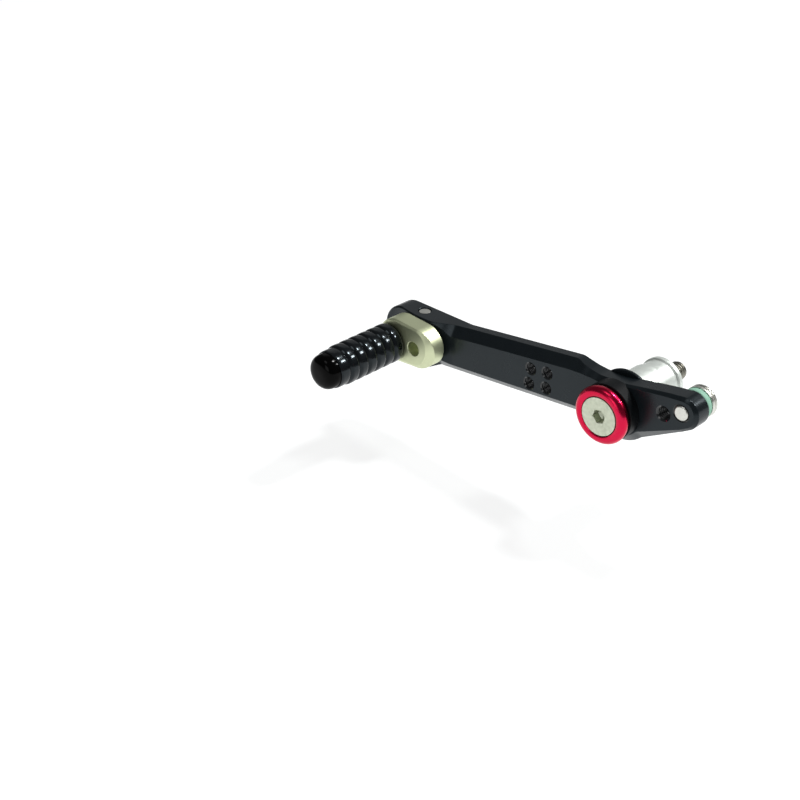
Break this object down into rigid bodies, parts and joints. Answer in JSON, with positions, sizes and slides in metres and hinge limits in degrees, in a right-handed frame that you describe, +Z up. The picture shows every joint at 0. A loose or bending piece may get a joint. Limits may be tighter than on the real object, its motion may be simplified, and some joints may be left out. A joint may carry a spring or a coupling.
{
  "type": "gear shift lever",
  "caption": "Motorcycle gear shift lever: machined arm on a bearing pivot, eccentric plate with a ribbed rolling toe peg, and a linkage pin at the tail.",
  "frame": {"origin": "on the pivot axis, at the rear face of the spacer, which seats on the motorcycle's bracket", "axes": "+X from the toe peg towards the linkage pin, +Y along the pivot screw towards the motorcycle, +Z up with the lever at rest"},
  "size_m": [0.1592, 0.0967, 0.0344],
  "materials": {
    "black_anodised": "satin black anodised, crisp machined edges",
    "gold_anodised": "satin champagne anodised",
    "red_anodised": "gloss crimson anodised",
    "nickel_screw": "satin nickel-plated steel",
    "bright_steel": "bright machined steel",
    "machined_aluminium": "bright turned aluminium",
    "bearing_steel": "polished hardened steel",
    "bearing_seal": "matt black seal",
    "bronze": "oiled bearing bronze",
    "gloss_black_cap": "gloss black",
    "green_seal": "matt green rubber"
  },
  "bodies": {
    "axle": {"pivot_screw": "nickel_screw", "cup_washer": "red_anodised", "axle_sleeve": "bright_steel", "distance_tube": "machined_aluminium", "frame_spacer": "machined_aluminium", "front_bearing_inner_race": "bearing_steel", "rear_bearing_inner_race": "bearing_steel"},
    "lever": {"lever_arm": "black_anodised", "clamp_set_screw": "bright_steel", "linkage_pin": "bright_steel", "linkage_seal": "green_seal", "front_bearing_outer_race": "bearing_steel", "rear_bearing_outer_race": "bearing_steel", "front_bearing_outside_shield": "bearing_seal", "front_bearing_inside_shield": "bearing_seal", "rear_bearing_outside_shield": "bearing_seal", "rear_bearing_inside_shield": "bearing_seal"},
    "ball_cages": {"front_bearing_ball_cage": "bearing_steel", "rear_bearing_ball_cage": "bearing_steel"},
    "eccentric": {"eccentric_plate": "gold_anodised", "peg_bolt": "bright_steel", "peg_thrust_washer": "gloss_black_cap"},
    "peg_roller": {"peg_sleeve": "black_anodised", "peg_bush_inner": "bronze", "peg_bush_outer": "bronze", "peg_end_cap": "gloss_black_cap"}
  },
  "joints": [
    {"name": "lever_pivot", "type": "hinge", "parent": "axle", "child": "lever", "pos_m": [0, 0, 0], "axis": [0, 1, 0], "range_deg": [-14, 14]},
    {"name": "ball_cage_orbit", "type": "hinge", "parent": "axle", "child": "ball_cages", "pos_m": [0, 0, 0], "axis": [0, 1, 0], "range_deg": [-8.5, 8.5]},
    {"name": "eccentric_turn", "type": "hinge", "parent": "lever", "child": "eccentric", "pos_m": [-0.104, -0.0313, -0.0064], "axis": [0, 1, 0], "continuous": true},
    {"name": "peg_spin", "type": "hinge", "parent": "eccentric", "child": "peg_roller", "pos_m": [-0.10846, -0.0613, -0.00696], "axis": [0, 1, 0], "continuous": true}
  ],
  "couplings": [
    {"joint": "ball_cage_orbit", "follows": "lever_pivot", "ratio": 0.6}
  ]
}
